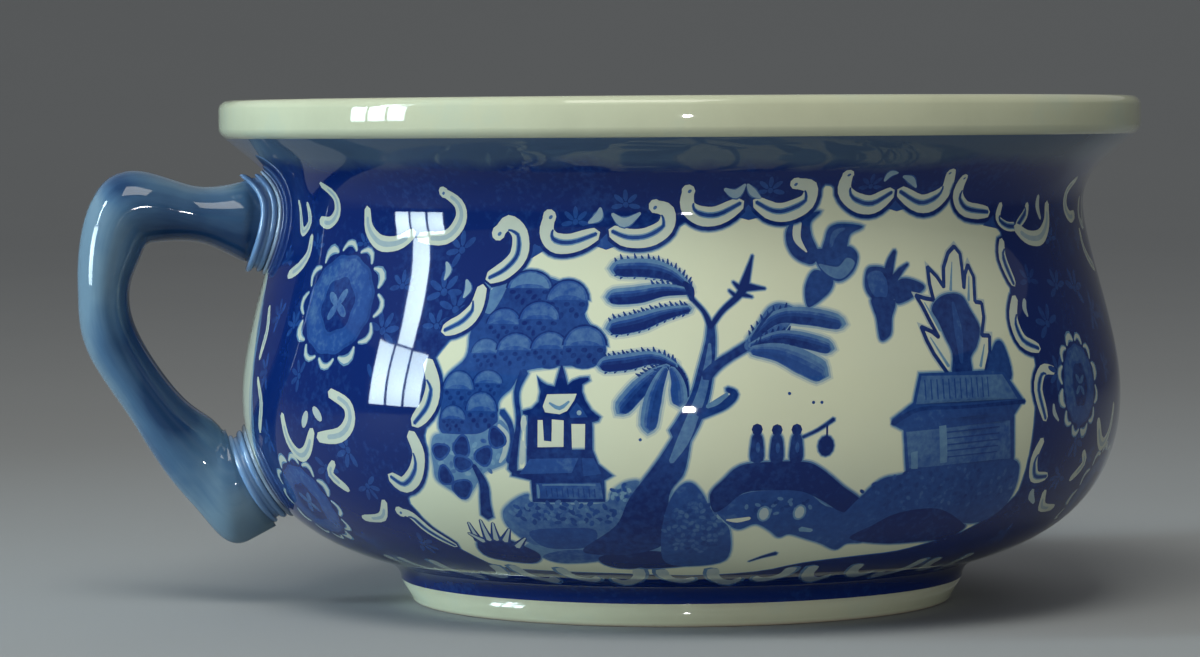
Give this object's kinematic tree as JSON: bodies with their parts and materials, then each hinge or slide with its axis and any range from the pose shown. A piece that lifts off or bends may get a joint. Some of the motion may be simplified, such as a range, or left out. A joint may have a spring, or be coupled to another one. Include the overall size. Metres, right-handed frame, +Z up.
{
  "type": "chamber pot",
  "caption": "Round bellied ceramic chamber pot with a waisted neck, flared rolled rim, low foot ring and a side loop handle joined through ringed collars.",
  "frame": {"origin": "on the pot's axis, in the plane of the foot ring's land, where the pot stands on a table", "axes": "+Z up along the pot's axis; the handle points along -X; -Y is the front with the main picture panel"},
  "size_m": [0.2709, 0.235, 0.128],
  "materials": {
    "printed_glaze": "glossy clear glaze over a cobalt blue print on cream earthenware",
    "cream_glaze": "glossy clear glaze on cream earthenware",
    "blue_glaze": "glossy streaked blue glaze",
    "slip": "thin glazed seam of slip"
  },
  "bodies": {
    "root": {"bowl": "printed_glaze", "rim_roll": "cream_glaze", "foot_ring": "cream_glaze", "handle": "blue_glaze", "upper_collar": "blue_glaze", "lower_collar": "blue_glaze", "upper_luting": "slip", "lower_luting": "slip"}
  },
  "joints": []
}
